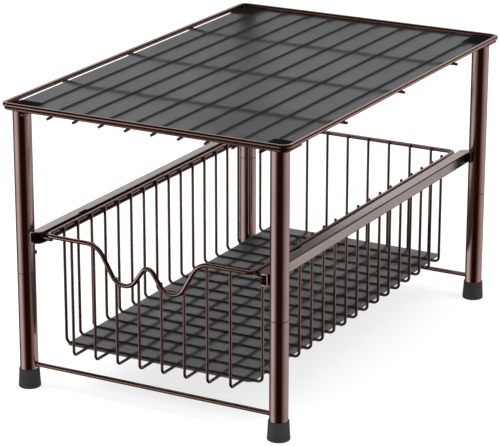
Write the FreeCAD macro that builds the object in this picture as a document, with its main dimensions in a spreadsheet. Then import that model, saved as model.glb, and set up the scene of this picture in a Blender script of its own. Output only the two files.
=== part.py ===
"""Under sink organizer: a wire shelf on four two-section legs with a sliding wire basket below.

Millimetres, +X to the right, +Y to the back, +Z up. The origin is on the floor, midway between
the four feet.
"""
import FreeCAD, Part
import math
import os
import re
import Sketcher

Vector = FreeCAD.Vector

# Driving dimensions of the organizer, each written once.
SIZES = [
    # Legs: a lower tube with a neck that plugs into the upper tube.
    ("leg_diameter", 16.0),
    ("leg_wall", 1.0),
    ("leg_spacing_x", 246.0),
    ("leg_spacing_y", 395.0),
    ("leg_seam_height", 105.3),
    ("leg_seam_chamfer", 0.3),
    ("neck_length", 32.0),
    ("neck_wall", 1.0),
    ("neck_shoulder", 2.0),
    ("socket_clearance", 0.15),
    ("spigot_length", 24.0),
    # Rubber feet.
    ("foot_height", 17.0),
    ("foot_top_diameter", 17.8),
    ("foot_bottom_diameter", 19.6),
    ("foot_floor", 4.0),
    ("foot_chamfer", 0.8),
    # Floor bars between the lower legs.
    ("floor_bar_diameter", 4.0),
    ("floor_bar_height", 21.5),
    # Shelf.
    ("shelf_height", 257.4),
    ("rim_rod_diameter", 4.4),
    ("rim_overhang_x", 12.0),
    ("rim_overhang_y", 11.5),
    ("rim_corner_radius", 6.5),
    ("shelf_bar_diameter", 2.2),
    ("shelf_bar_inset", 0.3),
    ("shelf_bar_return", 25.0),
    ("shelf_wire_diameter", 2.5),
    ("shelf_wire_overhang", 4.0),
    ("shelf_wire_leg_gap", 0.1),
    ("shelf_long_wire_pitch", 25.05),
    ("shelf_cross_wire_count", 3),
    ("shelf_cross_wire_share", 0.525),
    ("shelf_liner_thickness", 1.0),
    ("shelf_liner_gap", 2.7),
    ("corner_plate_thickness", 1.5),
    ("corner_plate_reach_x", 25.0),
    ("corner_plate_reach_y", 26.5),
    ("corner_plate_bar_gap", 0.05),
    # Rails: channels that open towards the basket.
    ("rail_bottom_height", 133.8),
    ("rail_height", 10.5),
    ("rail_flange_width", 10.0),
    ("rail_sheet", 0.9),
    ("rail_bend_radius", 0.6),
    ("rail_overhang", 5.5),
    ("rail_corner_share", 0.75),
    ("rail_notch_setback", 63.0),
    ("rail_notch_length", 13.0),
    ("rail_notch_depth", 1.8),
    ("rail_notch_radius", 1.2),
    # Basket.
    ("basket_width", 200.0),
    ("basket_depth", 397.0),
    ("basket_forward", 1.5),
    ("basket_clearance", 11.2),
    ("basket_rim_diameter", 4.0),
    ("basket_corner_radius", 6.5),
    ("basket_wire_diameter", 2.6),
    ("basket_bend_radius", 4.5),
    ("basket_wire_rise", 2.4),
    ("basket_front_wire_rise", 0.6),
    ("basket_side_wire_count", 17),
    ("basket_side_wire_pitch", 22.0),
    ("basket_long_wire_count", 8),
    ("basket_long_wire_pitch", 22.0),
    ("basket_liner_thickness", 1.0),
    ("basket_liner_side_gap", 0.3),
    ("basket_liner_end_gap", 6.6),
    ("basket_liner_shift", 3.0),
    ("basket_liner_corner_radius", 6.0),
    # Wavy hand dip in the front of the basket rim, measured from its middle and its top.
    ("dip_shoulder_offset", 59.5),
    ("dip_shoulder_radius", 18.0),
    ("dip_valley_offset", 23.1),
    ("dip_valley_radius", 13.5),
    ("dip_depth", 31.9),
    ("dip_peak_drop", 13.3),
    ("dip_peak_radius", 6.0),
    # Runner rods that carry the basket in the rails.
    ("runner_diameter", 5.0),
    ("runner_side_gap", 1.1),
    ("runner_inset", 7.0),
    ("runner_bend_radius", 6.0),
    ("runner_weld_overlap", 1.5),
    ("runner_clearance", 0.3),
    # Snap buttons and their clip springs.
    ("button_diameter", 3.4),
    ("button_hole_clearance", 0.2),
    ("button_protrusion", 1.5),
    ("button_tip_radius", 1.1),
    ("button_tip_share", 0.3),
    ("button_flange_diameter", 5.0),
    ("button_flange_thickness", 0.8),
    ("button_flange_clearance", 0.2),
    ("lower_button_rise", 17.2),
    ("upper_button_drop", 4.7),
    ("spring_width", 5.0),
    ("spring_thickness", 0.5),
    ("spring_length", 15.0),
    ("spring_rise", 2.4),
    ("spring_clearance", 0.1),
    ("spring_bend_share", 0.96),
    # Directions of the snap buttons, in degrees from the front towards the right.
    ("lower_button_angle_front_left", 130.0),
    ("lower_button_angle_front_right", 190.0),
    ("lower_button_angle_back_left", 310.0),
    ("lower_button_angle_back_right", 10.0),
    ("upper_button_angle_front_left", 38.0),
    ("upper_button_angle_front_right", 218.0),
    ("upper_button_angle_back_left", 38.0),
    ("upper_button_angle_back_right", 218.0),
    # How far a cutting tool runs past the face that it cuts.
    ("cut_overrun", 1.0),
]

# Places worked out from the driving dimensions, as expressions of the sheet.
LEG_X = "leg_spacing_x / 2"
LEG_Y = "leg_spacing_y / 2"
SOCKET_DIAMETER = "(leg_diameter - 2 * leg_wall - 2 * socket_clearance)"
SOCKET_BORE = "(leg_diameter - 2 * leg_wall - 2 * socket_clearance - 2 * neck_wall)"
RIM_X = "(leg_spacing_x / 2 + rim_overhang_x)"
RIM_Y = "(leg_spacing_y / 2 + rim_overhang_y)"
RIM_Z = "(shelf_height - rim_rod_diameter / 2)"
SHELF_BAR_X = "(leg_spacing_x / 2 + rim_overhang_x - shelf_bar_inset)"
SHELF_BAR_Y = "(leg_spacing_y / 2 + rim_overhang_y - shelf_bar_inset)"
SHELF_BAR_DROP = ("sqrt((rim_rod_diameter + shelf_bar_diameter) * (rim_rod_diameter + shelf_bar_diameter) / 4"
                  " - shelf_bar_inset * shelf_bar_inset)")
SHELF_BAR_Z = "(shelf_height - rim_rod_diameter / 2 - " + SHELF_BAR_DROP + ")"
SHELF_WIRE_TOP = "(" + SHELF_BAR_Z + " - shelf_bar_diameter / 2)"
RIM_BOTTOM = "(shelf_height - rim_rod_diameter)"
CROSS_WIRE_DIAMETER = "(" + RIM_BOTTOM + " - " + SHELF_WIRE_TOP + ")"
PLATE_BOTTOM = "(" + RIM_BOTTOM + " - corner_plate_thickness)"
SHELF_WIRE_ROOM = "(leg_spacing_x - leg_diameter - 2 * shelf_wire_leg_gap - shelf_wire_diameter)"
SHELF_WIRE_SPACES = "floor(" + SHELF_WIRE_ROOM + " / shelf_long_wire_pitch)"
RAIL_X = "(leg_spacing_x / 2 - leg_diameter / 2)"
RAIL_END = "(leg_spacing_y / 2 + rail_overhang)"
RUNNER_Z = "(rail_bottom_height + rail_sheet + runner_clearance + runner_diameter / 2)"
BASKET_RIM_Z = ("(rail_bottom_height + rail_sheet + runner_clearance + runner_diameter"
                " + basket_rim_diameter / 2)")
BASKET_FLOOR_Z = ("(floor_bar_height + floor_bar_diameter / 2 + basket_clearance"
                  " + basket_wire_diameter / 2)")
BASKET_WIRE_X = "(basket_width / 2 - basket_rim_diameter / 2 - basket_wire_diameter / 2)"
BASKET_WIRE_Y = "(basket_depth / 2 - basket_rim_diameter / 2 - basket_wire_diameter / 2)"
LOWER_BUTTON_Z = "(leg_seam_height + lower_button_rise)"
UPPER_BUTTON_Z = PLATE_BOTTOM + " - upper_button_drop"

# Two places nearer than this are one place.
TOUCH = 1e-4

# Degrees in a quarter turn and in a whole turn.
QUARTER_TURN = 90.0
WHOLE_TURN = 360.0

# The four corners, with the signs of their X and Y.
CORNERS = {
    "front_left": (-1, -1),
    "front_right": (1, -1),
    "back_left": (-1, 1),
    "back_right": (1, 1),
}

doc = FreeCAD.newDocument("under_sink_organizer")
sheet = doc.addObject("Spreadsheet::Sheet", "sizes")
nodes = []


def fill_sheet():
    """Write each driving dimension as a number with its alias."""
    for row, (alias, number) in enumerate(SIZES, start=1):
        sheet.set("A%d" % row, alias.replace("_", " "))
        sheet.set("B%d" % row, str(number))
        sheet.setAlias("B%d" % row, alias)
    doc.recompute()


ALIASES = {alias for alias, number in SIZES}


def cells(expression):
    """Turn the aliases of an expression into references to the sheet's cells."""
    return re.sub(r"[a-z_]+", lambda word: "sizes." + word.group() if word.group() in ALIASES
                  else word.group(), expression)


def value(expression):
    """Work out an expression of aliases as a number."""
    return float(sheet.evalExpression(cells(expression)))


def bind(target, prop, expression):
    """Bind a property to an expression of aliases."""
    target.setExpression(prop, cells(expression))


def place(target, x="0", y="0", z="0", turn=0.0):
    """Place an object by expressions, turned about the vertical by an angle in degrees."""
    target.Placement = FreeCAD.Placement(Vector(), FreeCAD.Rotation(Vector(0, 0, 1), turn))
    bind(target, "Placement.Base.x", x)
    bind(target, "Placement.Base.y", y)
    bind(target, "Placement.Base.z", z)


def signed(sign, expression):
    """The expression, or its negative where the sign is below zero."""
    return expression if sign > 0 else "-(%s)" % expression


def new_body(label):
    body = doc.addObject("PartDesign::Body", label)
    body.Label = label
    return body


def new_sketch(body, name, role, offset="0"):
    """A sketch on one of the body's own origin planes, moved along the plane's normal."""
    sketch = body.newObject("Sketcher::SketchObject", name)
    planes = [feature for feature in body.Origin.OriginFeatures if feature.Role == role]
    sketch.AttachmentSupport = [(planes[0], "")]
    sketch.MapMode = "FlatFace"
    bind(sketch, "AttachmentOffset.Base.z", offset)
    return sketch


def dimension(sketch, kind, geometry, expression):
    """Add a dimension to a sketch and bind it to an expression."""
    index = sketch.addConstraint(Sketcher.Constraint(kind, *geometry, value(expression)))
    bind(sketch, "Constraints[%d]" % index, expression)


def locate(sketch, kind, geometry, position, expression):
    """Bind one coordinate of a point, measured from the sketch's origin."""
    if value(expression) < 0:
        dimension(sketch, kind, (geometry, position, -1, 1), "-(%s)" % expression)
    else:
        dimension(sketch, kind, (-1, 1, geometry, position), expression)


def add_arc(sketch, center, radius, start, end):
    """An arc that runs from one point to the next, with the positions of its two ends."""
    first = math.atan2(start.y - center.y, start.x - center.x)
    last = math.atan2(end.y - center.y, end.x - center.x)
    left_turn = (start - center).cross(end - center).z > 0
    if not left_turn:
        first, last = last, first
    if last < first:
        last += 2 * math.pi
    circle = Part.Circle(center, Vector(0, 0, 1), radius)
    index = sketch.addGeometry(Part.ArcOfCircle(circle, first, last), False)
    return (index, 1, 2) if left_turn else (index, 2, 1)


def draw_outline(sketch, corners, closed):
    """Draw straight runs along the sketch's axes, with arcs at the corners that have a radius.

    Each corner is a pair of expressions, with an expression of its radius or None.
    """
    points = [Vector(value(x), value(y), 0) for x, y, radius in corners]
    count = len(points)
    runs = count if closed else count - 1
    starts = list(points)
    ends = list(points)
    arcs = {}
    for index, (x, y, radius) in enumerate(corners):
        if radius is None or (not closed and index in (0, count - 1)):
            continue
        reach = value(radius)
        back = (points[index - 1] - points[index]).normalize()
        ahead = (points[(index + 1) % count] - points[index]).normalize()
        ends[index] = points[index] + back * reach
        starts[index] = points[index] + ahead * reach
        arcs[index] = (points[index] + (back + ahead) * reach, reach)
    lines = []
    for index in range(runs):
        following = (index + 1) % count
        lines.append(sketch.addGeometry(Part.LineSegment(starts[index], ends[following]), False))
    for index in range(runs):
        run = points[(index + 1) % count] - points[index]
        level = abs(run.x) > abs(run.y)
        sketch.addConstraint(Sketcher.Constraint("Horizontal" if level else "Vertical", lines[index]))
        x, y, radius = corners[index]
        locate(sketch, "DistanceY" if level else "DistanceX", lines[index], 1, y if level else x)
    for index in range(count if closed else count - 2):
        corner = index if closed else index + 1
        before = lines[corner - 1]
        after = lines[corner]
        if corner not in arcs:
            sketch.addConstraint(Sketcher.Constraint("Coincident", before, 2, after, 1))
            continue
        center, reach = arcs[corner]
        arc, entry, leave = add_arc(sketch, center, reach, ends[corner], starts[corner])
        sketch.addConstraint(Sketcher.Constraint("Tangent", before, 2, arc, entry))
        sketch.addConstraint(Sketcher.Constraint("Tangent", arc, leave, after, 1))
        dimension(sketch, "Radius", (arc,), corners[corner][2])
    if not closed:
        for line, position, corner, beside in ((lines[0], 1, 0, 1), (lines[-1], 2, -1, -2)):
            run = points[beside] - points[corner]
            level = abs(run.x) > abs(run.y)
            x, y, radius = corners[corner]
            locate(sketch, "DistanceX" if level else "DistanceY", line, position, x if level else y)
    return lines


def draw_circle(sketch, diameter, x="0", y="0"):
    """A circle of a bound diameter, at the sketch's origin unless a place is given."""
    center = Vector(value(x), value(y), 0)
    circle = sketch.addGeometry(Part.Circle(center, Vector(0, 0, 1), value(diameter) / 2), False)
    if center.Length > 0:
        locate(sketch, "DistanceX", circle, 3, x)
        locate(sketch, "DistanceY", circle, 3, y)
    else:
        sketch.addConstraint(Sketcher.Constraint("Coincident", circle, 3, -1, 1))
    dimension(sketch, "Diameter", (circle,), diameter)


def add_pipe(body, name, path, diameter):
    """A round rod along a path sketch of the same body."""
    doc.recompute()
    section = body.newObject("Sketcher::SketchObject", name + "_section")
    section.AttachmentSupport = [(path, "Edge1")]
    section.MapMode = "NormalToEdge"
    draw_circle(section, diameter)
    doc.recompute()
    pipe = body.newObject("PartDesign::AdditivePipe", name)
    pipe.Profile = section
    pipe.Spine = (path, [])
    return pipe


def add_pad(body, name, sketch, length, reverse=False, both_ways=False):
    pad = body.newObject("PartDesign::Pad", name)
    pad.Profile = sketch
    pad.Reversed = reverse
    pad.SideType = "Symmetric" if both_ways else "One side"
    bind(pad, "Length", length)
    return pad


def add_pattern(body, name, original, role, length, occurrences):
    """Repeat a feature along a plane's normal, against its direction, over a bound length."""
    pattern = body.newObject("PartDesign::LinearPattern", name)
    pattern.Originals = [original]
    planes = [feature for feature in body.Origin.OriginFeatures if feature.Role == role]
    pattern.Direction = (planes[0], [""])
    bind(pattern, "Length", length)
    bind(pattern, "Occurrences", occurrences)
    body.Tip = pattern
    return pattern


def keep(node):
    """Count a finished object as one of the organizer's pieces."""
    nodes.append(node)
    return node


def bent_rod(label, role, corners, diameter, closed=False):
    """A body that is one round rod, bent along runs and arcs in an origin plane."""
    body = new_body(label)
    path = new_sketch(body, label + "_path", role)
    draw_outline(path, corners, closed)
    add_pipe(body, label + "_rod", path, diameter)
    return body


def turned_piece(label, outline, axis):
    """A body of revolution about an axis of its XZ sketch."""
    body = new_body(label)
    profile = new_sketch(body, label + "_profile", "XZ_Plane")
    draw_profile(profile, outline)
    revolution = body.newObject("PartDesign::Revolution", label + "_turned")
    revolution.Profile = profile
    revolution.ReferenceAxis = (profile, [axis])
    revolution.Angle = WHOLE_TURN
    return body


def draw_profile(sketch, outline):
    """A closed outline of straight lines, each corner bound by its two expressions."""
    points = [Vector(value(x), value(y), 0) for x, y in outline]
    count = len(points)
    for index in range(count):
        sketch.addGeometry(Part.LineSegment(points[index], points[(index + 1) % count]), False)
    for index in range(count):
        sketch.addConstraint(Sketcher.Constraint("Coincident", index, 2, (index + 1) % count, 1))
    for index, (x, y) in enumerate(outline):
        for kind, axis, expression in (("DistanceX", -2, x), ("DistanceY", -1, y)):
            if value(expression) == 0:
                sketch.addConstraint(Sketcher.Constraint("PointOnObject", index, 1, axis))
            else:
                locate(sketch, kind, index, 1, expression)


def tube(label, outside, inside, bottom, length, x, y):
    """A straight upright tube."""
    body = new_body(label)
    ring = new_sketch(body, label + "_ring", "XY_Plane")
    draw_circle(ring, outside)
    draw_circle(ring, inside)
    add_pad(body, label + "_wall", ring, length)
    place(body, x, y, bottom)
    return body


def button_turn(angle):
    """The turn that points the local X axis along a snap button's direction."""
    return value(angle) - QUARTER_TURN


def drill(label, base, angle, x, y, z):
    """Drill one wall of an upright tube for a snap button."""
    hole = doc.addObject("Part::Cylinder", label + "_hole")
    bind(hole, "Radius", "button_diameter / 2 + button_hole_clearance")
    bind(hole, "Height", "leg_diameter / 2 + cut_overrun")
    upright = FreeCAD.Rotation(Vector(0, 0, 1), Vector(1, 0, 0))
    turn = FreeCAD.Rotation(Vector(0, 0, 1), button_turn(angle))
    place(hole, x, y, z)
    hole.Placement.Rotation = turn.multiply(upright)
    drilled = doc.addObject("Part::Cut", label)
    drilled.Label = label
    drilled.Base = base
    drilled.Tool = hole
    return drilled


def upper_leg(corner, x, y):
    """The upper tube, from the seam up to the corner plate, with a hole for each snap button."""
    label = "upper_leg_" + corner
    outline = [
        ("leg_diameter / 2 - leg_wall", "leg_seam_height"),
        ("leg_diameter / 2 - leg_seam_chamfer", "leg_seam_height"),
        ("leg_diameter / 2", "leg_seam_height + leg_seam_chamfer"),
        ("leg_diameter / 2", PLATE_BOTTOM),
        ("leg_diameter / 2 - leg_wall", PLATE_BOTTOM),
    ]
    blank = turned_piece(label + "_blank", outline, "V_Axis")
    place(blank, x, y)
    lower = drill(label + "_drilled", blank, "lower_button_angle_" + corner, x, y, LOWER_BUTTON_Z)
    keep(drill(label, lower, "upper_button_angle_" + corner, x, y, UPPER_BUTTON_Z))


def lower_leg(corner, x, y):
    """The lower tube with a narrower neck, which plugs into the upper tube."""
    label = "lower_leg_" + corner
    outline = [
        ("leg_diameter / 2", "foot_floor"),
        ("leg_diameter / 2", "leg_seam_height - leg_seam_chamfer"),
        ("leg_diameter / 2 - leg_seam_chamfer", "leg_seam_height"),
        (SOCKET_DIAMETER + " / 2", "leg_seam_height"),
        (SOCKET_DIAMETER + " / 2", "leg_seam_height + neck_length"),
        (SOCKET_BORE + " / 2", "leg_seam_height + neck_length"),
        (SOCKET_BORE + " / 2", "leg_seam_height - neck_shoulder"),
        ("leg_diameter / 2 - leg_wall", "leg_seam_height - neck_shoulder"),
        ("leg_diameter / 2 - leg_wall", "foot_floor"),
    ]
    blank = turned_piece(label + "_blank", outline, "V_Axis")
    place(blank, x, y)
    keep(drill(label, blank, "lower_button_angle_" + corner, x, y, LOWER_BUTTON_Z))


def foot(corner, x, y):
    """A rubber cup that grips the end of a lower leg."""
    outline = [
        ("0", "0"),
        ("foot_bottom_diameter / 2 - foot_chamfer", "0"),
        ("foot_bottom_diameter / 2", "foot_chamfer"),
        ("foot_top_diameter / 2", "foot_height"),
        ("leg_diameter / 2", "foot_height"),
        ("leg_diameter / 2", "foot_floor"),
        ("0", "foot_floor"),
    ]
    body = turned_piece("foot_" + corner, outline, "V_Axis")
    place(body, x, y)
    keep(body)


def corner_plate(corner, sign_x, sign_y):
    """A steel plate inside the ends of the shelf bars, rounded at the shelf's corner."""
    label = "corner_plate_" + corner
    edge = " - shelf_bar_diameter / 2 - corner_plate_bar_gap"
    outer_x = signed(sign_x, SHELF_BAR_X + edge)
    outer_y = signed(sign_y, SHELF_BAR_Y + edge)
    inner_x = signed(sign_x, RIM_X + " - corner_plate_reach_x")
    inner_y = signed(sign_y, RIM_Y + " - corner_plate_reach_y")
    body = new_body(label)
    outline = new_sketch(body, label + "_outline", "XY_Plane")
    draw_outline(outline, [
        (outer_x, outer_y, "rim_corner_radius - shelf_bar_inset" + edge),
        (inner_x, outer_y, None),
        (inner_x, inner_y, None),
        (outer_x, inner_y, None),
    ], closed=True)
    add_pad(body, label + "_sheet", outline, "corner_plate_thickness")
    place(body, z=PLATE_BOTTOM)
    keep(body)


def spigot(corner, x, y):
    """The short tube under a corner plate, which plugs into the upper leg."""
    label = "spigot_" + corner
    blank = tube(label + "_blank", SOCKET_DIAMETER, SOCKET_BORE, PLATE_BOTTOM + " - spigot_length",
                 "spigot_length", x, y)
    keep(drill(label, blank, "upper_button_angle_" + corner, x, y, UPPER_BUTTON_Z))


def snap_button(label, angle, x, y, z):
    """A round button with an inner flange, which springs out through the two tube walls."""
    flange_top = ("(sqrt(" + SOCKET_BORE + " * " + SOCKET_BORE
                  + " / 4 - button_flange_diameter * button_flange_diameter / 4)"
                  + " - button_flange_clearance)")
    outline = [
        (flange_top + " - button_flange_thickness", "0"),
        ("leg_diameter / 2 + button_protrusion", "0"),
        ("leg_diameter / 2 + button_protrusion", "button_diameter / 2 - button_tip_radius"),
        ("leg_diameter / 2 + button_protrusion - button_tip_radius * button_tip_share",
         "button_diameter / 2 - button_tip_radius * button_tip_share"),
        ("leg_diameter / 2 + button_protrusion - button_tip_radius", "button_diameter / 2"),
        (flange_top, "button_diameter / 2"),
        (flange_top, "button_flange_diameter / 2"),
        (flange_top + " - button_flange_thickness", "button_flange_diameter / 2"),
    ]
    body = turned_piece(label, outline, "H_Axis")
    place(body, x, y, z, button_turn(angle))
    keep(body)


def snap_spring(label, angle, x, y, z):
    """A bent clip of spring strip behind a snap button, open at the top."""
    wall = ("(sqrt(" + SOCKET_BORE + " * " + SOCKET_BORE + " / 4 - spring_width * spring_width / 4)"
            + " - spring_clearance)")
    flange_back = ("(sqrt(" + SOCKET_BORE + " * " + SOCKET_BORE
                   + " / 4 - button_flange_diameter * button_flange_diameter / 4)"
                   + " - button_flange_clearance - button_flange_thickness - spring_clearance)")
    bottom = "spring_rise - spring_length"
    outer = "((" + wall + " + " + flange_back + ") / 2 * spring_bend_share)"
    body = new_body(label)
    strip = new_sketch(body, label + "_strip", "XZ_Plane")
    draw_outline(strip, [
        (flange_back, "spring_rise", None),
        (flange_back, bottom, outer),
        ("-" + wall, bottom, outer),
        ("-" + wall, "spring_rise", None),
        ("-" + wall + " + spring_thickness", "spring_rise", None),
        ("-" + wall + " + spring_thickness", bottom + " + spring_thickness", outer + " - spring_thickness"),
        (flange_back + " - spring_thickness", bottom + " + spring_thickness",
         outer + " - spring_thickness"),
        (flange_back + " - spring_thickness", "spring_rise", None),
    ], closed=True)
    add_pad(body, label + "_clip", strip, "spring_width", both_ways=True)
    place(body, x, y, z, button_turn(angle))
    keep(body)


def leg_sets():
    """The pieces of all four legs, one kind after another."""
    places = {}
    for corner, (sign_x, sign_y) in CORNERS.items():
        places[corner] = (signed(sign_x, LEG_X), signed(sign_y, LEG_Y))
    for corner, (x, y) in places.items():
        foot(corner, x, y)
        lower_leg(corner, x, y)
        upper_leg(corner, x, y)
        spigot(corner, x, y)
    for corner, (sign_x, sign_y) in CORNERS.items():
        corner_plate(corner, sign_x, sign_y)
    for level, z in (("lower", LOWER_BUTTON_Z), ("upper", UPPER_BUTTON_Z)):
        for corner, (x, y) in places.items():
            angle = "%s_button_angle_%s" % (level, corner)
            snap_button("%s_button_%s" % (level, corner), angle, x, y, z)
            snap_spring("%s_spring_%s" % (level, corner), angle, x, y, z)


def floor_bar(label, sign_y):
    """A round bar between two lower legs, with its ends shaped to the tubes."""
    rod = doc.addObject("Part::Cylinder", label + "_rod")
    bind(rod, "Radius", "floor_bar_diameter / 2")
    bind(rod, "Height", "leg_spacing_x")
    place(rod, "-" + LEG_X, signed(sign_y, LEG_Y), "floor_bar_height")
    rod.Placement.Rotation = FreeCAD.Rotation(Vector(0, 0, 1), Vector(1, 0, 0))
    shaped = rod
    for side, sign_x in (("left", -1), ("right", 1)):
        leg = doc.addObject("Part::Cylinder", "%s_%s_leg" % (label, side))
        bind(leg, "Radius", "leg_diameter / 2")
        bind(leg, "Height", "floor_bar_height + floor_bar_diameter")
        place(leg, signed(sign_x, LEG_X), signed(sign_y, LEG_Y))
        cut = doc.addObject("Part::Cut", label if side == "right" else label + "_one_end")
        cut.Base = shaped
        cut.Tool = leg
        shaped = cut
    shaped.Label = label
    keep(shaped)


def shelf_rim():
    """The closed rod loop around the top of the shelf."""
    body = bent_rod("shelf_rim", "XY_Plane", [
        ("-" + RIM_X, "-" + RIM_Y, "rim_corner_radius"),
        (RIM_X, "-" + RIM_Y, "rim_corner_radius"),
        (RIM_X, RIM_Y, "rim_corner_radius"),
        ("-" + RIM_X, RIM_Y, "rim_corner_radius"),
    ], "rim_rod_diameter", closed=True)
    place(body, z=RIM_Z)
    keep(body)


def shelf_bar(label, sign_y):
    """A thinner rod under the rim and just inside it, along one end and a little way up both sides."""
    end = signed(sign_y, SHELF_BAR_Y)
    tip = signed(sign_y, RIM_Y + " - shelf_bar_return")
    corner = "rim_corner_radius - shelf_bar_inset"
    body = bent_rod(label, "XY_Plane", [
        ("-" + SHELF_BAR_X, tip, None),
        ("-" + SHELF_BAR_X, end, corner),
        (SHELF_BAR_X, end, corner),
        (SHELF_BAR_X, tip, None),
    ], "shelf_bar_diameter")
    place(body, z=SHELF_BAR_Z)
    keep(body)


def shelf_long_wires():
    """Straight wires from front to back under the two shelf bars, as many as fit between the legs."""
    span = "shelf_long_wire_pitch * " + SHELF_WIRE_SPACES
    body = new_body("shelf_long_wires")
    section = new_sketch(body, "shelf_long_wire_section", "XZ_Plane")
    draw_circle(section, "shelf_wire_diameter", span + " / 2",
                SHELF_WIRE_TOP + " - shelf_wire_diameter / 2")
    wire = add_pad(body, "shelf_long_wire", section, "2 * (" + RIM_Y + " + shelf_wire_overhang)",
                   both_ways=True)
    doc.recompute()
    pattern = add_pattern(body, "shelf_long_wire_row", wire, "YZ_Plane", span, SHELF_WIRE_SPACES + " + 1")
    pattern.Reversed = True
    keep(body)


def shelf_cross_wires():
    """Straight wires from side to side, between the rim above them and the long wires below."""
    pitch = RIM_Y + " * shelf_cross_wire_share"
    span = pitch + " * (shelf_cross_wire_count - 1)"
    body = new_body("shelf_cross_wires")
    section = new_sketch(body, "shelf_cross_wire_section", "YZ_Plane")
    draw_circle(section, CROSS_WIRE_DIAMETER, span + " / 2",
                RIM_BOTTOM + " - " + CROSS_WIRE_DIAMETER + " / 2")
    wire = add_pad(body, "shelf_cross_wire", section, "2 * (" + RIM_X + " + shelf_wire_overhang)",
                   both_ways=True)
    doc.recompute()
    add_pattern(body, "shelf_cross_wire_row", wire, "XZ_Plane", span, "shelf_cross_wire_count")
    keep(body)


def flat_liner(label, half_x, half_y, radius, thickness, bottom, shift="0"):
    """A flat sheet with rounded corners."""
    body = new_body(label)
    outline = new_sketch(body, label + "_outline", "XY_Plane")
    draw_outline(outline, [
        ("-(%s)" % half_x, "-(%s)" % half_y, radius),
        (half_x, "-(%s)" % half_y, radius),
        (half_x, half_y, radius),
        ("-(%s)" % half_x, half_y, radius),
    ], closed=True)
    add_pad(body, label + "_sheet", outline, thickness)
    place(body, y=shift, z=bottom)
    keep(body)


def upright_edges(shape, x, y):
    """Names of the upright edges of a shape that stand at a place in plan."""
    names = []
    for index, edge in enumerate(shape.Edges, start=1):
        ends = [vertex.Point for vertex in edge.Vertexes]
        if all(abs(end.x - x) < TOUCH and abs(end.y - y) < TOUCH for end in ends):
            names.append("Edge%d" % index)
    return names


def rail(label, sign_x):
    """A channel along one side, open towards the basket.

    Its flanges have rounded corners, and the upper one has a shallow notch near the front.
    """
    web = signed(sign_x, RAIL_X)
    web_inside = signed(sign_x, RAIL_X + " - rail_sheet")
    lip = signed(sign_x, RAIL_X + " - rail_flange_width")
    inner = "rail_bend_radius"
    outer = "rail_bend_radius + rail_sheet"
    body = new_body(label)
    channel = new_sketch(body, label + "_channel", "XZ_Plane")
    draw_outline(channel, [
        (web, "0", outer),
        (web, "rail_height", outer),
        (lip, "rail_height", None),
        (lip, "rail_height - rail_sheet", None),
        (web_inside, "rail_height - rail_sheet", inner),
        (web_inside, "rail_sheet", inner),
        (lip, "rail_sheet", None),
        (lip, "0", None),
    ], closed=True)
    length = add_pad(body, label + "_length", channel, "2 * " + RAIL_END, both_ways=True)
    doc.recompute()
    rounded = body.newObject("PartDesign::Fillet", label + "_rounded")
    corners = []
    for end in (-value(RAIL_END), value(RAIL_END)):
        corners += upright_edges(length.Shape, value(lip), end)
    rounded.Base = (length, corners)
    bind(rounded, "Radius", "rail_flange_width * rail_corner_share")
    doc.recompute()
    past_lip = signed(sign_x, RAIL_X + " - rail_flange_width - cut_overrun")
    notch_root = signed(sign_x, RAIL_X + " - rail_flange_width + rail_notch_depth")
    notch_front = "-" + RAIL_END + " + rail_notch_setback"
    notch = new_sketch(body, label + "_notch_outline", "XY_Plane", offset="rail_height")
    draw_outline(notch, [
        (past_lip, notch_front, None),
        (past_lip, notch_front + " + rail_notch_length", None),
        (notch_root, notch_front + " + rail_notch_length", "rail_notch_radius"),
        (notch_root, notch_front, "rail_notch_radius"),
    ], closed=True)
    pocket = body.newObject("PartDesign::Pocket", label + "_notch")
    pocket.Profile = notch
    bind(pocket, "Length", "rail_height / 2")
    place(body, z="rail_bottom_height")
    keep(body)


def dip_tangent(center, radius, next_center, next_radius, falling):
    """The two ends of the straight run that joins two arcs, which bend opposite ways."""
    between = next_center - center
    lean = math.asin((radius + next_radius) / between.Length)
    heading = math.atan2(between.y, between.x) + (-lean if falling else lean)
    along = Vector(math.cos(heading), math.sin(heading), 0)
    across = Vector(-along.y, along.x, 0)
    side = 1 if falling else -1
    return center + across * radius * side, next_center - across * next_radius * side


def dip_centers():
    """The arc centres of the left half of the hand dip and the peak, below the rim's top line."""
    shoulder = Vector(-value("dip_shoulder_offset"), -value("dip_shoulder_radius"), 0)
    valley = Vector(-value("dip_valley_offset"), value("dip_valley_radius - dip_depth"), 0)
    peak = Vector(0, -value("dip_peak_drop + dip_peak_radius"), 0)
    return shoulder, valley, peak


def dip_drop(x):
    """How far the front of the rim lies below its top line, at a distance from the middle."""
    shoulder, valley, peak = dip_centers()
    shoulder_radius = value("dip_shoulder_radius")
    valley_radius = value("dip_valley_radius")
    peak_radius = value("dip_peak_radius")
    fall_start, fall_end = dip_tangent(shoulder, shoulder_radius, valley, valley_radius, True)
    rise_start, rise_end = dip_tangent(valley, valley_radius, peak, peak_radius, False)
    left = -abs(x)
    if left <= shoulder.x:
        return 0.0
    if left <= fall_start.x:
        return -shoulder.y - math.sqrt(shoulder_radius ** 2 - (left - shoulder.x) ** 2)
    if left <= fall_end.x:
        part = (left - fall_start.x) / (fall_end.x - fall_start.x)
        return -fall_start.y - part * (fall_end.y - fall_start.y)
    if left <= rise_start.x:
        return -valley.y + math.sqrt(valley_radius ** 2 - (left - valley.x) ** 2)
    if left <= rise_end.x:
        part = (left - rise_start.x) / (rise_end.x - rise_start.x)
        return -rise_start.y - part * (rise_end.y - rise_start.y)
    return -peak.y - math.sqrt(peak_radius ** 2 - left ** 2)


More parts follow.
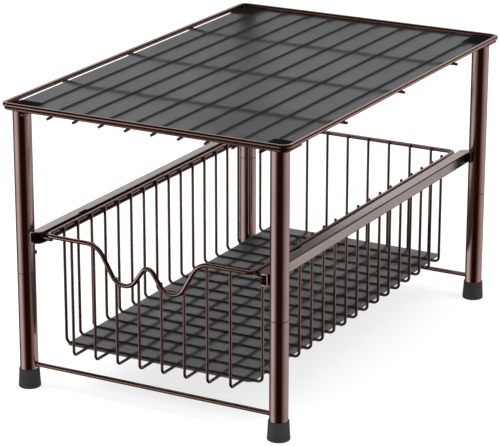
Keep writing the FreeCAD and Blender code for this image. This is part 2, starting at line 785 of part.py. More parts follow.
def draw_dip(sketch):
    """The wavy line of the hand dip: shoulder, valley, peak, valley and shoulder, joined by runs."""
    def mirrored(point):
        return Vector(-point.x, point.y, 0)

    shoulder, valley, peak = dip_centers()
    radii = ["dip_shoulder_radius", "dip_valley_radius", "dip_peak_radius", "dip_valley_radius",
             "dip_shoulder_radius"]
    offsets = ["-dip_shoulder_offset", "-dip_valley_offset", "0", "dip_valley_offset",
               "dip_shoulder_offset"]
    shoulder_height = "-dip_shoulder_radius"
    valley_height = "dip_valley_radius - dip_depth"
    heights = [shoulder_height, valley_height, "-dip_peak_drop - dip_peak_radius", valley_height,
               shoulder_height]
    centers = [shoulder, valley, peak, mirrored(valley), mirrored(shoulder)]
    fall = dip_tangent(shoulder, value(radii[0]), valley, value(radii[1]), True)
    rise = dip_tangent(valley, value(radii[1]), peak, value(radii[2]), False)
    start = Vector(shoulder.x, 0, 0)
    joints = [start, fall[0], fall[1], rise[0], rise[1]]
    joints += [mirrored(joint) for joint in reversed(joints)]
    arcs = []
    for index, center in enumerate(centers):
        arcs.append(add_arc(sketch, center, value(radii[index]), joints[2 * index], joints[2 * index + 1]))
        if index < len(centers) - 1:
            sketch.addGeometry(Part.LineSegment(joints[2 * index + 1], joints[2 * index + 2]), False)
    for index, (arc, entry, leave) in enumerate(arcs):
        dimension(sketch, "Radius", (arc,), radii[index])
        if value(offsets[index]) == 0:
            sketch.addConstraint(Sketcher.Constraint("PointOnObject", arc, 3, -2))
        else:
            locate(sketch, "DistanceX", arc, 3, offsets[index])
        locate(sketch, "DistanceY", arc, 3, heights[index])
        if index > 0:
            sketch.addConstraint(Sketcher.Constraint("Tangent", arc - 1, 2, arc, entry))
        if index < len(arcs) - 1:
            sketch.addConstraint(Sketcher.Constraint("Tangent", arc, leave, arc + 1, 1))
    locate(sketch, "DistanceX", arcs[0][0], arcs[0][1], offsets[0])
    locate(sketch, "DistanceX", arcs[-1][0], arcs[-1][2], offsets[-1])


def basket_rim():
    """The rod around the top of the basket: a level loop, closed at the front by the hand dip."""
    side = "basket_width / 2"
    end = "basket_depth / 2"
    body = bent_rod("basket_rim", "XY_Plane", [
        ("-dip_shoulder_offset", "-" + end, None),
        ("-" + side, "-" + end, "basket_corner_radius"),
        ("-" + side, end, "basket_corner_radius"),
        (side, end, "basket_corner_radius"),
        (side, "-" + end, "basket_corner_radius"),
        ("dip_shoulder_offset", "-" + end, None),
    ], "basket_rim_diameter")
    doc.recompute()
    dip = new_sketch(body, "basket_rim_dip", "XZ_Plane", offset=end)
    draw_dip(dip)
    add_pipe(body, "basket_rim_dip_rod", dip, "basket_rim_diameter")
    place(body, y="-basket_forward", z=BASKET_RIM_Z)
    keep(body)


def basket_side_wires():
    """Wires from the left rim, down under the basket and up to the right rim."""
    top = BASKET_RIM_Z + " + basket_wire_rise"
    level = BASKET_FLOOR_Z + " + basket_wire_diameter"
    span = "basket_side_wire_pitch * (basket_side_wire_count - 1)"
    body = bent_rod("basket_side_wires", "XZ_Plane", [
        ("-" + BASKET_WIRE_X, top, None),
        ("-" + BASKET_WIRE_X, level, "basket_bend_radius"),
        (BASKET_WIRE_X, level, "basket_bend_radius"),
        (BASKET_WIRE_X, top, None),
    ], "basket_wire_diameter")
    place(body, y=span + " / 2 - basket_forward")
    doc.recompute()
    add_pattern(body, "basket_side_wire_row", body.Tip, "XZ_Plane", span, "basket_side_wire_count")
    keep(body)


def basket_long_wires():
    """Wires from the front rim, down under the basket and up to the back rim.

    The front ends follow the hand dip.
    """
    body = new_body("basket_long_wires")
    level = BASKET_FLOOR_Z
    back_top = BASKET_RIM_Z + " + basket_wire_rise"
    for index in range(int(value("basket_long_wire_count"))):
        across = "basket_long_wire_pitch * (%d - (basket_long_wire_count - 1) / 2)" % index
        front_top = "%s + basket_front_wire_rise - %.6f" % (BASKET_RIM_Z, dip_drop(value(across)))
        name = "basket_long_wire_%d" % (index + 1)
        path = new_sketch(body, name + "_path", "YZ_Plane", offset=across)
        draw_outline(path, [
            ("-" + BASKET_WIRE_Y, front_top, None),
            ("-" + BASKET_WIRE_Y, level, "basket_bend_radius"),
            (BASKET_WIRE_Y, level, "basket_bend_radius"),
            (BASKET_WIRE_Y, back_top, None),
        ], closed=False)
        add_pipe(body, name, path, "basket_wire_diameter")
    place(body, y="-basket_forward")
    keep(body)


def runner(label, sign_x):
    """A rod beside the basket that rides in a rail, with both ends bent in under the rim."""
    tip = signed(sign_x, "basket_width / 2 - runner_weld_overlap")
    track = signed(sign_x, RAIL_X + " - rail_sheet - runner_side_gap - runner_diameter / 2")
    end = "(basket_depth / 2 - runner_inset)"
    body = bent_rod(label, "XY_Plane", [
        (tip, "-" + end, None),
        (track, "-" + end, "runner_bend_radius"),
        (track, end, "runner_bend_radius"),
        (tip, end, None),
    ], "runner_diameter")
    place(body, y="-basket_forward", z=RUNNER_Z)
    keep(body)


def shelf():
    shelf_rim()
    shelf_bar("front_shelf_bar", -1)
    shelf_bar("rear_shelf_bar", 1)
    shelf_long_wires()
    shelf_cross_wires()
    edge = " - shelf_bar_diameter / 2 - shelf_liner_gap"
    flat_liner("shelf_liner", SHELF_BAR_X + edge, SHELF_BAR_Y + edge,
               "rim_corner_radius - shelf_bar_inset" + edge, "shelf_liner_thickness", RIM_BOTTOM)


def basket():
    basket_rim()
    basket_side_wires()
    basket_long_wires()
    runner("left_runner", -1)
    runner("right_runner", 1)
    flat_liner("basket_liner",
               BASKET_WIRE_X + " - basket_bend_radius - basket_liner_side_gap",
               BASKET_WIRE_Y + " - basket_liner_end_gap",
               "basket_liner_corner_radius", "basket_liner_thickness",
               BASKET_FLOOR_Z + " + basket_wire_diameter + basket_wire_diameter / 2",
               "basket_liner_shift - basket_forward")


def check_and_write():
    """Stop on any failed object or unsound solid, then write one file per piece."""
    doc.recompute()
    for item in doc.Objects:
        if "Invalid" in item.State or "Error" in item.State:
            raise RuntimeError("%s: %s" % (item.Label, item.State))
    for node in nodes:
        if node.Shape.isNull() or not node.Shape.isValid() or not node.Shape.Solids:
            raise RuntimeError("%s has no sound solid" % node.Label)
    os.makedirs("parts", exist_ok=True)
    for node in nodes:
        node.Shape.exportStep("parts/%s.step" % node.Label)
        print("%-28s %2d solids %10.1f mm3" % (node.Label, len(node.Shape.Solids), node.Shape.Volume))


fill_sheet()
leg_sets()
floor_bar("front_floor_bar", -1)
floor_bar("rear_floor_bar", 1)
shelf()
rail("left_rail", -1)
rail("right_rail", 1)
basket()
check_and_write()
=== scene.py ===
"""Under sink organizer: finishes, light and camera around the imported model.

Sizes below are in millimetres and become metres as each mesh is made.
+X is to the right, +Y to the back and +Z up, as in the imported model.
"""
import math
import bpy
import mathutils
import numpy as np
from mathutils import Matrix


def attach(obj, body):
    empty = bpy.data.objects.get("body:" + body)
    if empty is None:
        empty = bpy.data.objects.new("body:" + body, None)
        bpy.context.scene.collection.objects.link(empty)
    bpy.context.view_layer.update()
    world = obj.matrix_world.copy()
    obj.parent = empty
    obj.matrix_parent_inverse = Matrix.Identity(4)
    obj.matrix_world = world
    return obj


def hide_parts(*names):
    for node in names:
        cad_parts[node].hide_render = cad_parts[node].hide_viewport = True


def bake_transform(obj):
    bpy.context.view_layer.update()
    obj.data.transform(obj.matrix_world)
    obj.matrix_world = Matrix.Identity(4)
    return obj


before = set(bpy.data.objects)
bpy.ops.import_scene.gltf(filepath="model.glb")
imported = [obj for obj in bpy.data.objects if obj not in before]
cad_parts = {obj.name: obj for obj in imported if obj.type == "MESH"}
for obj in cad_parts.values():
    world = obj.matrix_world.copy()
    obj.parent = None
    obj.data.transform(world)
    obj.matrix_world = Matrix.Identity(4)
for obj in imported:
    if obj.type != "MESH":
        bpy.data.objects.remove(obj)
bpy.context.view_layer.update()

MM = 0.001

# Legs.
LEG_X, LEG_Y = 123.0, 197.5
LEG_RADIUS = 8.0
FOOT_HEIGHT, FOOT_TOP_RADIUS, FOOT_BOTTOM_RADIUS = 17.0, 8.9, 9.8
FOOT_FLOOR, FOOT_EDGE = 4.0, 0.9
FLOOR_BAR_Z = 21.5

# Shelf.
RIM_X, RIM_Y, RIM_Z, RIM_RADIUS, RIM_CORNER = 135.0, 209.0, 255.2, 2.194, 6.5
SHELF_BAR_X, SHELF_BAR_Y, SHELF_BAR_Z = 134.7, 208.7, 251.914
SHELF_BAR_RADIUS, SHELF_BAR_CORNER, SHELF_BAR_TIP_Y = 1.1, 6.2, 184.0
SHELF_WIRE_RADIUS = 1.25
LONG_WIRE_COUNT, LONG_WIRE_PITCH, LONG_WIRE_Z, LONG_WIRE_END = 10, 25.05, 249.564, 213.0
CROSS_WIRE_Y, CROSS_WIRE_Z, CROSS_WIRE_RADIUS, CROSS_WIRE_END = 109.725, 251.7, 1.25, 139.0
# Between their ends the shelf's wires run at these levels. Each jog gives the two distances from the
# middle between which a wire steps to the level of its ends.
LONG_WIRE_LEVEL, CROSS_WIRE_LEVEL, WIRE_JOG_BEND = 251.75, 249.25, 6.0
LONG_WIRE_JOG, OUTER_WIRE_JOG, CROSS_WIRE_JOG = (201.0, 206.5), (177.5, 183.5), (116.0, 132.0)
PLATE_INNER_X = 110.0
SHELF_LINER_X, SHELF_LINER_Y, SHELF_LINER_CORNER = 130.9, 204.9, 2.4
SHELF_LINER_Z, SHELF_LINER_THICKNESS = 253.0, 1.0

# Rails.
RAIL_FACE_X, RAIL_BOTTOM, RAIL_TOP = 115.0, 133.8, 144.3

# Basket.
BASKET_FORWARD = 1.5
BASKET_X, BASKET_Y, BASKET_RIM_Z, BASKET_RIM_RADIUS, BASKET_CORNER = 100.0, 198.5, 142.0, 2.0, 6.5
BASKET_WIRE_RADIUS, BASKET_BEND, BASKET_WIRE_TOP, FRONT_WIRE_RISE = 1.3, 4.5, 144.4, 0.6
SIDE_WIRE_X, SIDE_WIRE_Z, SIDE_WIRE_COUNT, SIDE_WIRE_PITCH = 96.7, 38.6, 17, 22.0
FRONT_WIRE_Y, FRONT_WIRE_Z, FRONT_WIRE_COUNT, FRONT_WIRE_PITCH = 195.2, 36.0, 8, 22.0
BASKET_LINER_X, BASKET_LINER_Y, BASKET_LINER_CORNER = 91.9, 188.6, 6.0
BASKET_LINER_Z, BASKET_LINER_THICKNESS, BASKET_LINER_SHIFT = 39.9, 1.0, 3.0
RUNNER_X, RUNNER_Y, RUNNER_TIP_X, RUNNER_Z = 110.5, 191.5, 98.5, 137.5
RUNNER_RADIUS, RUNNER_BEND = 2.5, 6.0

# Wavy hand dip in the front of the basket rim, from its middle and below its top line.
DIP_SHOULDER_X, DIP_SHOULDER_RADIUS = 59.5, 18.0
DIP_VALLEY_X, DIP_VALLEY_RADIUS, DIP_DEPTH = 23.1, 13.5, 31.9
DIP_PEAK_DROP, DIP_PEAK_RADIUS = 13.3, 6.0

# Snap buttons: directions in degrees from the front towards the right, and heights.
BUTTON_RADIUS, BUTTON_TIP, BUTTON_DOME = 1.7, 9.5, 1.1
BUTTON_FLANGE_RADIUS, BUTTON_FLANGE_BACK, BUTTON_FLANGE_FRONT = 2.5, 4.289, 5.089
BUTTON_Z = {"lower": 122.5, "upper": 246.8}
BUTTON_ANGLES = {
    "lower": {"front_left": 130.0, "front_right": 190.0, "back_left": 310.0, "back_right": 10.0},
    "upper": {"front_left": 38.0, "front_right": 218.0, "back_left": 38.0, "back_right": 218.0},
}
# Clip springs, measured from the middle of the leg at the button's height.
SPRING_BACK, SPRING_FRONT, SPRING_TOP, SPRING_BOTTOM = -4.939, 3.939, 2.4, -12.35
SPRING_WIDTH, SPRING_THICKNESS, SPRING_BEND, SPRING_EDGE = 5.0, 0.5, 4.251, 0.12
CORNERS = {"front_left": (-1, -1), "front_right": (1, -1), "back_left": (-1, 1), "back_right": (1, 1)}

# Weld beads: half lengths along X, Y and Z.
CROSSING_BEAD, RIM_BEAD = (1.05, 1.05, 0.5), (1.5, 1.8, 0.7)
BASKET_SIDE_BEAD, BASKET_END_BEAD = (0.55, 1.2, 1.3), (1.2, 0.55, 1.3)
RUNNER_BEAD, FLOOR_BAR_BEAD = (1.6, 1.9, 0.7), (0.9, 2.5, 2.5)
RAIL_BEAD, RAIL_BEAD_SPREAD = (0.7, 1.5, 4.4), 2.2

# Fineness of the meshes.
ROD_SIDES, WIRE_SIDES, TURNED_SIDES = 28, 20, 56
ARC_STEPS, END_STEPS, DOME_STEPS = 10, 5, 8
BEAD_ROWS, BEAD_SIDES, WIDE_BEAD_SIDES = 6, 10, 16
BEAD_POLE_ANGLE = 0.12
END_ROUND_SHARE = 0.45
SMOOTH_ANGLE = math.radians(40.0)

X_AXIS, Y_AXIS, Z_AXIS = np.eye(3)


def unit(rows):
    """Each vector of an array divided by its length."""
    return rows / np.linalg.norm(rows, axis=-1, keepdims=True)


def rounded_route(corners, radius, closed=False, steps=ARC_STEPS):
    """Points along straight runs whose corners are arcs.

    At each corner the two runs leave along unit vectors a and b. The arc's centre lies on their
    bisector, at the radius over the sine of half their angle, and its points turn about that
    centre from the first run to the second.
    """
    corners = np.asarray(corners, float)
    bends = corners if closed else corners[1:-1]
    before = np.roll(corners, 1, axis=0) if closed else corners[:-2]
    after = np.roll(corners, -1, axis=0) if closed else corners[2:]
    back, ahead = unit(before - bends), unit(after - bends)
    bisector = unit(back + ahead)
    across = unit(ahead - back)
    half = np.arccos(np.clip(np.sum(back * ahead, axis=1), -1, 1)) / 2
    centre = bends + bisector * (radius / np.sin(half))[:, None]
    angle = np.linspace(-1, 1, steps + 1)[None, :] * (math.pi / 2 - half)[:, None]
    arcs = (centre[:, None] - radius * np.cos(angle)[..., None] * bisector[:, None]
            + radius * np.sin(angle)[..., None] * across[:, None]).reshape(-1, 3)
    return arcs if closed else np.vstack([corners[:1], arcs, corners[-1:]])


def headings(route, closed):
    """Unit tangents of a route: the mean of the directions of the runs before and after a point."""
    if closed:
        runs = unit(np.roll(route, -1, axis=0) - route)
        return unit(runs + np.roll(runs, 1, axis=0))
    runs = unit(np.diff(route, axis=0))
    return unit(np.vstack([runs[:1], runs]) + np.vstack([runs, runs[-1:]]))


def grid_faces(rings, sides, closed):
    """Quads between neighbouring rings of a grid that wraps round its sides."""
    ring = np.arange(rings if closed else rings - 1)[:, None]
    side = np.arange(sides)[None, :]
    here, beyond = ring * sides, (ring + 1) % rings * sides
    following = (side + 1) % sides
    quads = np.stack([here + side, here + following, beyond + following, beyond + side], axis=-1)
    return quads.reshape(-1, 4)


def skin(centres, tangents, radii, up, sides, closed=False):
    """A surface of circles: each has its centre, its radius and a tangent that it stands across.

    A circle's points are centre + radius (cos t * n + sin t * b), where n is the up vector less
    its share along the tangent, and b is the tangent crossed with n. Open ends are closed flat.
    """
    normals = unit(up - np.sum(up * tangents, axis=1, keepdims=True) * tangents)
    sideways = np.cross(tangents, normals)
    angle = np.arange(sides) * (2 * math.pi / sides)
    circle = (np.cos(angle)[None, :, None] * normals[:, None]
              + np.sin(angle)[None, :, None] * sideways[:, None])
    points = centres[:, None] + np.asarray(radii, float)[:, None, None] * circle
    rings = len(centres)
    faces = grid_faces(rings, sides, closed).tolist()
    if not closed:
        faces.append(list(range(sides))[::-1])
        faces.append(list(range((rings - 1) * sides, rings * sides)))
    return points.reshape(-1, 3), faces


def rod(route, radius, up, sides=WIRE_SIDES, closed=False):
    """A round rod along a route. Each cut end has a rounded edge, a quarter circle in section."""
    tangents = headings(route, closed)
    if closed:
        return skin(route, tangents, np.full(len(route), radius), up, sides, closed=True)
    edge = radius * END_ROUND_SHARE
    turn = np.linspace(0, math.pi / 2, END_STEPS)[:, None]
    depth, reach = edge * (1 - np.sin(turn)), radius - edge * (1 - np.cos(turn))
    depth, reach = depth[::-1], reach[::-1]
    head = route[:1] + depth * tangents[:1]
    tail = route[-1:] - depth[::-1] * tangents[-1:]
    centres = np.vstack([head, route[1:-1], tail])
    along = np.vstack([np.repeat(tangents[:1], END_STEPS, axis=0), tangents[1:-1],
                       np.repeat(tangents[-1:], END_STEPS, axis=0)])
    radii = np.concatenate([reach[:, 0], np.full(len(route) - 2, radius), reach[::-1, 0]])
    return skin(centres, along, radii, up, sides)


def strip(route, across, width, thickness, edge):
    """A flat strip along a route: a rectangle with rounded corners, carried across each tangent.

    A point is the route's plus u times the direction across the strip and v times the tangent
    crossed with it, where u and v run round the rectangle.
    """
    tangents = headings(route, closed=False)
    outline = rounded_route(rectangle(width / 2, thickness / 2, 0.0), edge, closed=True, steps=END_STEPS)
    thicker = np.cross(tangents, across)
    points = (route[:, None] + outline[None, :, :1] * across + outline[None, :, 1:2] * thicker[:, None])
    rings, sides = len(route), len(outline)
    faces = grid_faces(rings, sides, closed=False).tolist()
    faces.append(list(range(sides))[::-1])
    faces.append(list(range((rings - 1) * sides, rings * sides)))
    return points.reshape(-1, 3), faces


def turned(profile, origin, axis, up, sides=TURNED_SIDES):
    """A surface of revolution: each profile row is a distance along the axis and a radius."""
    profile = np.asarray(profile, float)
    centres = np.asarray(origin, float) + profile[:, :1] * axis
    tangents = np.repeat(axis[None], len(profile), axis=0)
    return skin(centres, tangents, profile[:, 1], up, sides)


def quarter(centre, radius, first, last, steps=END_STEPS):
    """Rows of a rounded edge in a profile: points of a circle between two angles in degrees."""
    angle = np.radians(np.linspace(first, last, steps))
    return np.stack([centre[0] + radius * np.sin(angle), centre[1] + radius * np.cos(angle)], axis=1)


def rounded_sheet(half_x, half_y, corner, bottom, thickness):
    """A flat sheet: its rounded outline, drawn in at the two faces by a half circle of edge.

    Each ring is the outline less a distance along its outward normal, at its own height.
    """
    corners = [(-half_x, -half_y, 0), (half_x, -half_y, 0), (half_x, half_y, 0), (-half_x, half_y, 0)]
    outline = rounded_route(corners, corner, closed=True)
    tangents = headings(outline, closed=True)
    outward = np.cross(tangents, Z_AXIS)
    edge = thickness / 2
    turn = np.linspace(-math.pi / 2, math.pi / 2, 2 * END_STEPS - 1)
    drawn_in = edge * (1 - np.cos(turn))
    height = bottom + edge + edge * np.sin(turn)
    points = outline[None] - drawn_in[:, None, None] * outward[None] + height[:, None, None] * Z_AXIS
    count = len(outline)
    rings = len(turn)
    faces = grid_faces(rings, count, closed=False).tolist()
    faces.append(list(range(count))[::-1])
    faces.append(list(range((rings - 1) * count, rings * count)))
    return points.reshape(-1, 3), faces


def beads(places, reach, rows=BEAD_ROWS, sides=BEAD_SIDES):
    """Weld beads: an ellipsoid at each place, with its half lengths along X, Y and Z.

    A point is the place plus the half lengths times (sin p cos t, sin p sin t, cos p).
    """
    polar = np.linspace(BEAD_POLE_ANGLE, math.pi - BEAD_POLE_ANGLE, rows)[:, None]
    angle = np.arange(sides)[None, :] * (2 * math.pi / sides)
    ball = np.stack([np.sin(polar) * np.cos(angle), np.sin(polar) * np.sin(angle),
                     np.cos(polar) + 0 * angle], axis=-1).reshape(1, -1, 3)
    places = np.asarray(places, float).reshape(-1, 1, 3)
    reach = np.broadcast_to(np.asarray(reach, float), (len(places), 3))[:, None]
    points = (places + ball * reach).reshape(-1, 3)
    quads = grid_faces(rows, sides, closed=False)[:, ::-1]
    offsets = np.arange(len(places)) * rows * sides
    faces = (quads[None] + offsets[:, None, None]).reshape(-1, 4).tolist()
    top, foot = np.arange(sides), np.arange(sides)[::-1] + (rows - 1) * sides
    faces += (np.stack([top, foot])[None] + offsets[:, None, None]).reshape(-1, sides).tolist()
    return points, faces


def joined(surfaces):
    """Several surfaces as one: points in a row, with each surface's faces moved along."""
    points, faces, start = [], [], 0
    for more_points, more_faces in surfaces:
        points.append(more_points)
        faces += [[start + index for index in face] for face in more_faces]
        start += len(more_points)
    return np.vstack(points), faces


def moved(surface, step):
    """A surface with all its points moved by one step."""
    points, faces = surface
    return points + step, faces


def row(count, pitch):
    """Places of a row at one pitch, centred on zero."""
    return (np.arange(count) - (count - 1) / 2) * pitch


def make_piece(name, surface, body, material, slot, *nodes):
    """A mesh object from a surface, riding on a body, if it has one, and standing for CAD nodes."""
    points, faces = surface
    mesh = bpy.data.meshes.new(name)
    mesh.from_pydata((points * MM).tolist(), [], faces)
    mesh.polygons.foreach_set("use_smooth", np.ones(len(faces), bool))
    mesh.set_sharp_from_angle(angle=SMOOTH_ANGLE)
    mesh.materials.append(material)
    piece = bpy.data.objects.new(name, mesh)
    bpy.context.scene.collection.objects.link(piece)
    if body is not None:
        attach(piece, body)
    if nodes:
        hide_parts(*nodes)
    return piece


# Finishes.


def grain_group():
    """Fine grain and slow mottling in object space, for every finish."""
    group = bpy.data.node_groups.new("surface_grain", "ShaderNodeTree")
    group.interface.new_socket("Grain Scale", in_out="INPUT", socket_type="NodeSocketFloat")
    group.interface.new_socket("Mottle Scale", in_out="INPUT", socket_type="NodeSocketFloat")
    group.interface.new_socket("Grain", in_out="OUTPUT", socket_type="NodeSocketFloat")
    group.interface.new_socket("Mottle", in_out="OUTPUT", socket_type="NodeSocketFloat")
    nodes, links = group.nodes, group.links
    inward = nodes.new("NodeGroupInput")
    outward = nodes.new("NodeGroupOutput")
    place = nodes.new("ShaderNodeTexCoord")
    for name, detail in (("Grain", 2.0), ("Mottle", 4.0)):
        noise = nodes.new("ShaderNodeTexNoise")
        noise.inputs["Detail"].default_value = detail
        links.new(place.outputs["Object"], noise.inputs["Vector"])
        links.new(inward.outputs[name + " Scale"], noise.inputs["Scale"])
        links.new(noise.outputs["Fac"], outward.inputs[name])
    return group


# Parts of the noises' range over which the colour and the roughness go from one end to the other.
MOTTLE_RANGE, GRAIN_RANGE = (0.35, 0.65), (0.3, 0.7)


def finish(name, group, grain_scale, mottle_scale, colours, roughness, bump, **constants):
    """A material whose colour follows the mottling, and whose roughness and bump follow the grain.

    The bump is its strength and its distance. Constants go to the shader's sockets of those names.
    """
    material = bpy.data.materials.new(name)
    material.use_nodes = True
    nodes, links = material.node_tree.nodes, material.node_tree.links
    shader = nodes["Principled BSDF"]
    for socket, number in constants.items():
        shader.inputs[socket.replace("_", " ").title().replace("Ior", "IOR")].default_value = number
    grains = nodes.new("ShaderNodeGroup")
    grains.node_tree = group
    grains.inputs["Grain Scale"].default_value = grain_scale
    grains.inputs["Mottle Scale"].default_value = mottle_scale
    ramp = nodes.new("ShaderNodeValToRGB")
    for element, position, colour in zip(ramp.color_ramp.elements, MOTTLE_RANGE, colours):
        element.position = position
        element.color = (*colour, 1.0)
    links.new(grains.outputs["Mottle"], ramp.inputs["Fac"])
    links.new(ramp.outputs["Color"], shader.inputs["Base Color"])
    spread = nodes.new("ShaderNodeMapRange")
    spread.inputs["From Min"].default_value = GRAIN_RANGE[0]
    spread.inputs["From Max"].default_value = GRAIN_RANGE[1]
    spread.inputs["To Min"].default_value = roughness[0]
    spread.inputs["To Max"].default_value = roughness[1]
    links.new(grains.outputs["Grain"], spread.inputs["Value"])
    links.new(spread.outputs["Result"], shader.inputs["Roughness"])
    relief = nodes.new("ShaderNodeBump")
    relief.inputs["Strength"].default_value = bump[0]
    relief.inputs["Distance"].default_value = bump[1]
    links.new(grains.outputs["Grain"], relief.inputs["Height"])
    links.new(relief.outputs["Normal"], shader.inputs["Normal"])
    return material


grain = grain_group()
bronze = finish(
    "bronze_coat", grain, grain_scale=1400.0, mottle_scale=30.0,
    colours=((0.43, 0.32, 0.297), (0.48, 0.36, 0.335)), roughness=(0.15, 0.2), bump=(0.04, 0.00004),
    metallic=1.0)
# A darker copy of the bronze coat for the wires: painted shade, since the wires carry the same coat as the
# frame.
wire_bronze_painted_shade = finish(
    "bronze_wire_painted_shade", grain, grain_scale=1400.0, mottle_scale=30.0,
    colours=((0.25, 0.18, 0.165), (0.29, 0.21, 0.19)), roughness=(0.15, 0.2), bump=(0.04, 0.00004),
    metallic=1.0)
# A greyer copy of the bronze coat for the rails: painted reflection, since the rails carry the same coat as
# the frame.
rail_bronze_painted_reflection = finish(
    "bronze_rail_painted_reflection", grain, grain_scale=1400.0, mottle_scale=30.0,
    colours=((0.41, 0.372, 0.362), (0.45, 0.408, 0.397)), roughness=(0.18, 0.24), bump=(0.04, 0.00004),
    metallic=1.0)
rubber = finish(
    "black_rubber", grain, grain_scale=2600.0, mottle_scale=60.0,
    colours=((0.028, 0.028, 0.029), (0.036, 0.036, 0.037)), roughness=(0.55, 0.68), bump=(0.25, 0.00006),
    specular_ior_level=0.35)
frosted = finish(
    "frosted_plastic", grain, grain_scale=3200.0, mottle_scale=14.0,
    colours=((0.178, 0.178, 0.179), (0.198, 0.198, 0.199)), roughness=(0.85, 0.95), bump=(0.06, 0.00004),
    transmission_weight=0.985, ior=1.07, specular_ior_level=0.1)
spring_steel = finish(
    "spring_steel", grain, grain_scale=1800.0, mottle_scale=40.0,
    colours=((0.42, 0.42, 0.43), (0.5, 0.5, 0.51)), roughness=(0.3, 0.38), bump=(0.05, 0.00003), metallic=1.0)


# Pieces.


def dip_line():
    """Centre line of the hand dip from left to right, in the plane of the basket's front.

    Shoulder, valley and peak are arcs. A run that joins two arcs, which bend opposite ways, leans
    from the line of their centres by the arc sine of their radii's sum over that line's length.
    """
    centres = np.array([(-DIP_SHOULDER_X, -DIP_SHOULDER_RADIUS),
                        (-DIP_VALLEY_X, DIP_VALLEY_RADIUS - DIP_DEPTH),
                        (0.0, -DIP_PEAK_DROP - DIP_PEAK_RADIUS)])
    radii = np.array([DIP_SHOULDER_RADIUS, DIP_VALLEY_RADIUS, DIP_PEAK_RADIUS])
    ways = np.array([1.0, -1.0, 1.0])
    between = np.diff(centres, axis=0)
    lean = np.arcsin((radii[:-1] + radii[1:]) / np.hypot(*between.T))
    slope = np.arctan2(between[:, 1], between[:, 0]) - ways[:-1] * lean
    first = np.array([0.0, slope[0], slope[1]])
    last = np.array([slope[0], slope[1], 0.0])
    angle = first[:, None] + (last - first)[:, None] * np.linspace(0, 1, ARC_STEPS + 1)[None]
    across = centres[:, :1] - (ways * radii)[:, None] * np.sin(angle)
    height = centres[:, 1:] + (ways * radii)[:, None] * np.cos(angle)
    left = np.stack([across.ravel(), height.ravel()], axis=1)
    return np.vstack([left, left[-2::-1] * (-1, 1)])


DIP = dip_line()


def front_top(x):
    """Height of the tops of the basket's front wires: the dip's line, moved up by their rise."""
    return BASKET_RIM_Z + FRONT_WIRE_RISE + np.interp(x, DIP[:, 0], DIP[:, 1], left=0.0, right=0.0)


def u_wires(across, level, tops, shifts, along, bend, radius):
    """Wires bent into a U across one axis, one at each shift along another."""
    surfaces = []
    for shift, (first_top, last_top) in zip(shifts, tops):
        corners = [-across * along + first_top * Z_AXIS, -across * along + level * Z_AXIS,
                   across * along + level * Z_AXIS, across * along + last_top * Z_AXIS]
        sideways = np.cross(Z_AXIS, along)
        route = rounded_route(np.array(corners) + shift * np.abs(sideways), bend)
        surfaces.append(rod(route, radius, sideways))
    return joined(surfaces)


def jogged_wire(middle, along, jog, end, level, end_level, radius):
    """A wire along one axis at one level, whose two ends step to another level where it jogs."""
    reach = np.array([-end, -jog[1], -jog[0], jog[0], jog[1], end])
    height = np.array([end_level, end_level, level, level, end_level, end_level])
    corners = np.asarray(middle) + reach[:, None] * along + height[:, None] * Z_AXIS
    return rod(rounded_route(corners, WIRE_JOG_BEND), radius, np.cross(Z_AXIS, along))


def rectangle(half_x, half_y, z):
    """Corners of a level rectangle about the middle."""
    return [(-half_x, -half_y, z), (half_x, -half_y, z), (half_x, half_y, z), (-half_x, half_y, z)]


def shelf_pieces():
    """Rim, bars, wires and liner of the shelf."""
    long_x = row(LONG_WIRE_COUNT, LONG_WIRE_PITCH)
    cross_y = np.array([-CROSS_WIRE_Y, 0.0, CROSS_WIRE_Y])
    route = rounded_route(rectangle(RIM_X, RIM_Y, RIM_Z), RIM_CORNER, closed=True)
    make_piece("shelf_rim_rod", rod(route, RIM_RADIUS, Z_AXIS, ROD_SIDES, closed=True), "frame", bronze,
               "bronze_metal", "shelf_rim")
    for name, sign in (("front_shelf_bar", -1), ("rear_shelf_bar", 1)):
        end, tip = sign * SHELF_BAR_Y, sign * SHELF_BAR_TIP_Y
        corners = [(-SHELF_BAR_X, tip, SHELF_BAR_Z), (-SHELF_BAR_X, end, SHELF_BAR_Z),
                   (SHELF_BAR_X, end, SHELF_BAR_Z), (SHELF_BAR_X, tip, SHELF_BAR_Z)]
        make_piece(name + "_rod", rod(rounded_route(corners, SHELF_BAR_CORNER), SHELF_BAR_RADIUS, Z_AXIS),
                   "frame", bronze, "bronze_metal", name)
    jogs = [OUTER_WIRE_JOG if abs(x) > PLATE_INNER_X else LONG_WIRE_JOG for x in long_x]
    wires = [jogged_wire((x, 0.0, 0.0), Y_AXIS, jog, LONG_WIRE_END, LONG_WIRE_LEVEL, LONG_WIRE_Z,
                         SHELF_WIRE_RADIUS) for x, jog in zip(long_x, jogs)]
    make_piece("shelf_long_wire_rods", joined(wires), "frame", wire_bronze_painted_shade, "bronze_metal",
               "shelf_long_wires")
    wires = [jogged_wire((0.0, y, 0.0), X_AXIS, CROSS_WIRE_JOG, CROSS_WIRE_END, CROSS_WIRE_LEVEL,
                         CROSS_WIRE_Z, CROSS_WIRE_RADIUS) for y in cross_y]
    make_piece("shelf_cross_wire_rods", joined(wires), "frame", wire_bronze_painted_shade, "bronze_metal",
               "shelf_cross_wires")
    sheet = rounded_sheet(SHELF_LINER_X, SHELF_LINER_Y, SHELF_LINER_CORNER, SHELF_LINER_Z,
                          SHELF_LINER_THICKNESS)
    make_piece("shelf_liner_sheet", sheet, "frame", frosted, "frosted_plastic", "shelf_liner")
    shelf_welds(long_x, cross_y)


